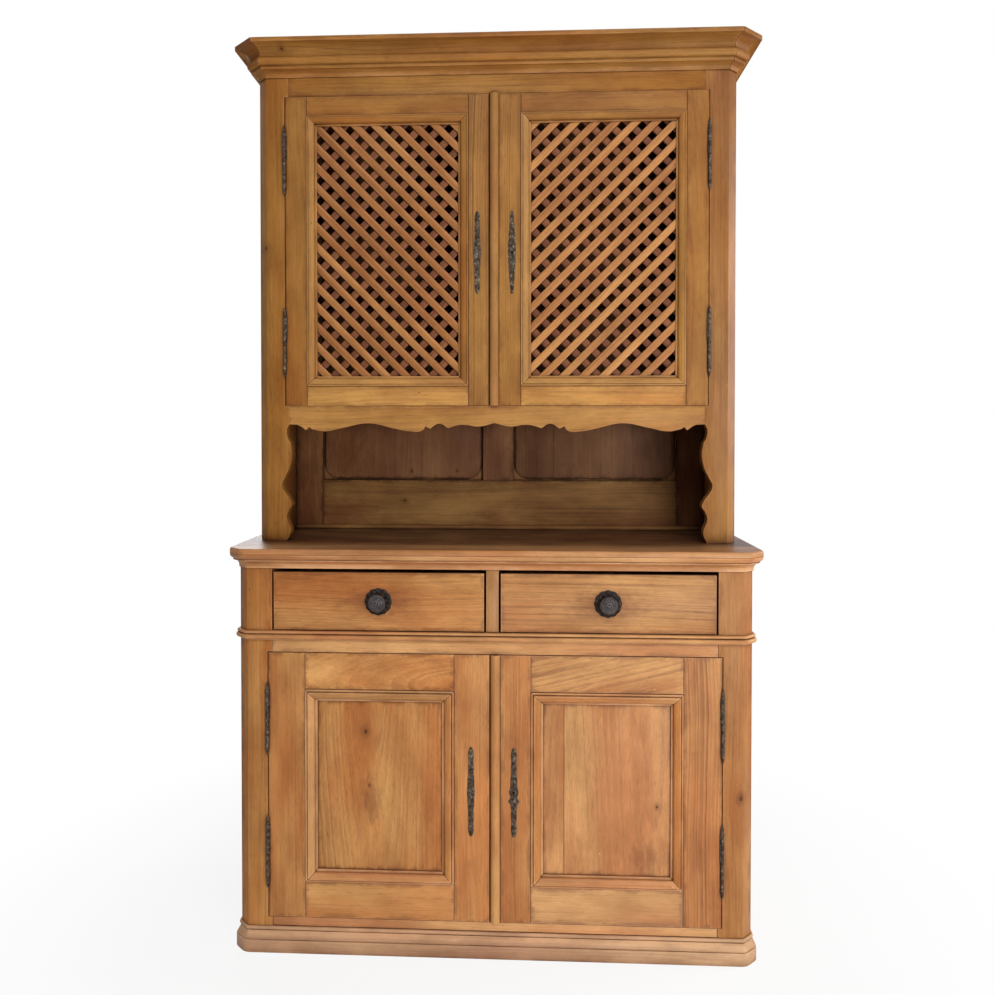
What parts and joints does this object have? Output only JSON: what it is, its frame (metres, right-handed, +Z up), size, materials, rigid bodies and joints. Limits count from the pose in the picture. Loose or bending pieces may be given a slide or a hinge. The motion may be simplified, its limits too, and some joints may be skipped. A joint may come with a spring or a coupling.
{
  "type": "kitchen dresser",
  "caption": "Two-part waxed pine kitchen dresser: base with drawers and panelled doors, set-back upper cabinet with lattice doors over an open scalloped niche.",
  "frame": {"origin": "on the floor, in the middle of the overall box", "axes": "+Z up, +Y towards the back, +X to the right seen from the front; the front faces -Y"},
  "size_m": [1.332, 0.4866, 2.2485],
  "materials": {
    "pine": "honey-waxed old pine, satin",
    "pine_inside": "darkened bare pine, matt",
    "pine_lattice": "honey-waxed pine slats, satin",
    "iron": "dark aged iron"
  },
  "bodies": {
    "carcass": {"base_left_post": "pine", "base_right_post": "pine", "base_left_side": "pine", "base_right_side": "pine", "base_back_panel": "pine_inside", "base_floor_board": "pine", "base_waist_rail": "pine", "drawer_runner_board": "pine_inside", "drawer_divider": "pine", "plinth_moulding": "pine", "waist_moulding": "pine", "worktop_moulding": "pine", "worktop": "pine", "upper_left_post": "pine", "upper_right_post": "pine", "upper_left_side": "pine", "upper_right_side": "pine", "frieze_rail": "pine", "scalloped_apron": "pine", "upper_floor_board": "pine_inside", "upper_shelf_lower": "pine_inside", "upper_shelf_upper": "pine_inside", "upper_top_board": "pine", "upper_back_frame": "pine_inside", "upper_back_panel": "pine_inside", "cornice_moulding": "pine", "lower_left_hinge_top": "iron", "lower_left_hinge_bottom": "iron", "lower_right_hinge_top": "iron", "lower_right_hinge_bottom": "iron", "upper_left_hinge_top": "iron", "upper_left_hinge_bottom": "iron", "upper_right_hinge_top": "iron", "upper_right_hinge_bottom": "iron"},
    "lower_left_door": {"lower_left_door_frame": "pine", "lower_left_door_moulding": "pine", "lower_left_door_panel": "pine", "lower_left_door_escutcheon": "iron"},
    "lower_right_door": {"lower_right_door_frame": "pine", "lower_right_door_moulding": "pine", "lower_right_door_panel": "pine", "lower_right_door_escutcheon": "iron", "lower_lock": "iron"},
    "upper_left_door": {"upper_left_door_frame": "pine", "upper_left_door_moulding": "pine", "upper_left_door_lattice": "pine_lattice", "upper_left_door_escutcheon": "iron"},
    "upper_right_door": {"upper_right_door_frame": "pine", "upper_right_door_moulding": "pine", "upper_right_door_lattice": "pine_lattice", "upper_right_door_escutcheon": "iron", "upper_lock": "iron"},
    "left_drawer": {"left_drawer_front": "pine", "left_drawer_box": "pine_inside", "left_drawer_rosette": "iron", "left_drawer_knob": "iron"},
    "right_drawer": {"right_drawer_front": "pine", "right_drawer_box": "pine_inside", "right_drawer_rosette": "iron", "right_drawer_knob": "iron"}
  },
  "joints": [
    {"name": "lower_left_door_hinge", "type": "hinge", "parent": "carcass", "child": "lower_left_door", "pos_m": [-0.5457, -0.213, 0.4], "axis": [0, 0, -1], "range_deg": [0, 165]},
    {"name": "lower_right_door_hinge", "type": "hinge", "parent": "carcass", "child": "lower_right_door", "pos_m": [0.5457, -0.213, 0.4], "axis": [0, 0, 1], "range_deg": [0, 165]},
    {"name": "upper_left_door_hinge", "type": "hinge", "parent": "carcass", "child": "upper_left_door", "pos_m": [-0.5378, -0.072, 1.71], "axis": [0, 0, -1], "range_deg": [0, 165]},
    {"name": "upper_right_door_hinge", "type": "hinge", "parent": "carcass", "child": "upper_right_door", "pos_m": [0.5378, -0.072, 1.71], "axis": [0, 0, 1], "range_deg": [0, 165]},
    {"name": "left_drawer_slide", "type": "slide", "parent": "carcass", "child": "left_drawer", "axis": [0, -1, 0], "range_m": [0, 0.3]},
    {"name": "right_drawer_slide", "type": "slide", "parent": "carcass", "child": "right_drawer", "axis": [0, -1, 0], "range_m": [0, 0.3]}
  ]
}
